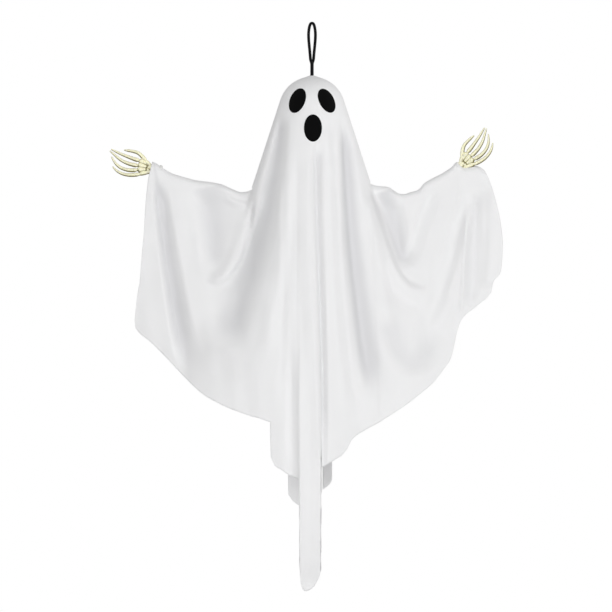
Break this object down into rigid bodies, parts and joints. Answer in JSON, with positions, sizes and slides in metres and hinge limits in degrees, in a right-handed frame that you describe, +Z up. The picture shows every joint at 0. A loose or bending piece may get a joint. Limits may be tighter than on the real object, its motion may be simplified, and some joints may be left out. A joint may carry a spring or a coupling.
{
  "type": "hanging ghost decoration",
  "caption": "White cloth ghost draped over a foam head ball and two bendable wire arms with skeleton hands, hung from a black cord loop.",
  "frame": {"origin": "where a hook bears inside the top of the cord loop", "axes": "+Z up; -Y is the side that the face looks to; +X is the right of the picture"},
  "size_m": [0.4829, 0.134, 0.6988],
  "materials": {
    "cloth_white": "matte thin white cloth",
    "patch_black": "smooth black cloth patch",
    "cord_black": "round woven black cord",
    "bone_plastic": "pale cream moulded plastic",
    "foam_white": "white foam",
    "wire_steel": "galvanised wire",
    "sleeve_white": "white plastic sleeve",
    "tape_white": "white tape",
    "plug_white": "white moulded plastic"
  },
  "bodies": {
    "loop": {"hanging_loop": "cord_black"},
    "knot": {"loop_stem": "cord_black", "loop_knot": "cord_black", "knot_washer": "plug_white"},
    "ghost": {"head_ball": "foam_white", "spine_plug": "plug_white", "spine_wire": "wire_steel", "chest_hub": "tape_white", "shroud_skirt": "cloth_white", "left_eye_patch": "patch_black", "right_eye_patch": "patch_black", "mouth_patch": "patch_black"},
    "left_arm": {"left_arm_wire": "wire_steel", "left_arm_sleeve": "sleeve_white", "left_wrist_tie": "tape_white"},
    "right_arm": {"right_arm_wire": "wire_steel", "right_arm_sleeve": "sleeve_white", "right_wrist_tie": "tape_white"},
    "left_hand": {"left_hand": "bone_plastic"},
    "right_hand": {"right_hand": "bone_plastic"},
    "left_drape": {"shroud_left_wing": "cloth_white"},
    "right_drape": {"shroud_right_wing": "cloth_white"}
  },
  "joints": [
    {"name": "sway", "type": "hinge", "parent": "loop", "child": "knot", "pos_m": [0, 0, -0.0655], "axis": [0, 1, 0], "range_deg": [-45, 45], "deforming": ["hanging_loop"]},
    {"name": "spin", "type": "hinge", "parent": "knot", "child": "ghost", "pos_m": [0, 0, -0.0655], "axis": [0, 0, 1], "range_deg": [-180, 180]},
    {"name": "left_shoulder", "type": "hinge", "parent": "ghost", "child": "left_arm", "pos_m": [0, 0, -0.219], "axis": [0, 1, 0], "range_deg": [-30, 10], "deforming": ["shroud_left_wing"]},
    {"name": "right_shoulder", "type": "hinge", "parent": "ghost", "child": "right_arm", "pos_m": [0, 0, -0.219], "axis": [0, -1, 0], "range_deg": [-30, 10], "deforming": ["shroud_right_wing"]},
    {"name": "left_wrist", "type": "hinge", "parent": "left_arm", "child": "left_hand", "pos_m": [-0.1943, 0, -0.1765], "axis": [-0.9336, 0, 0.3584], "range_deg": [-90, 90]},
    {"name": "right_wrist", "type": "hinge", "parent": "right_arm", "child": "right_hand", "pos_m": [0.1808, 0, -0.175], "axis": [0.5878, 0, 0.809], "range_deg": [-90, 90]},
    {"name": "left_drape", "type": "slide", "parent": "ghost", "child": "left_drape", "axis": [0, 0, 1], "range_m": [-0.13, 0.045]},
    {"name": "right_drape", "type": "slide", "parent": "ghost", "child": "right_drape", "axis": [0, 0, 1], "range_m": [-0.13, 0.045]}
  ],
  "couplings": [
    {"joint": "left_drape", "follows": "left_shoulder", "m_per_rad": 0.2203},
    {"joint": "right_drape", "follows": "right_shoulder", "m_per_rad": 0.205}
  ]
}
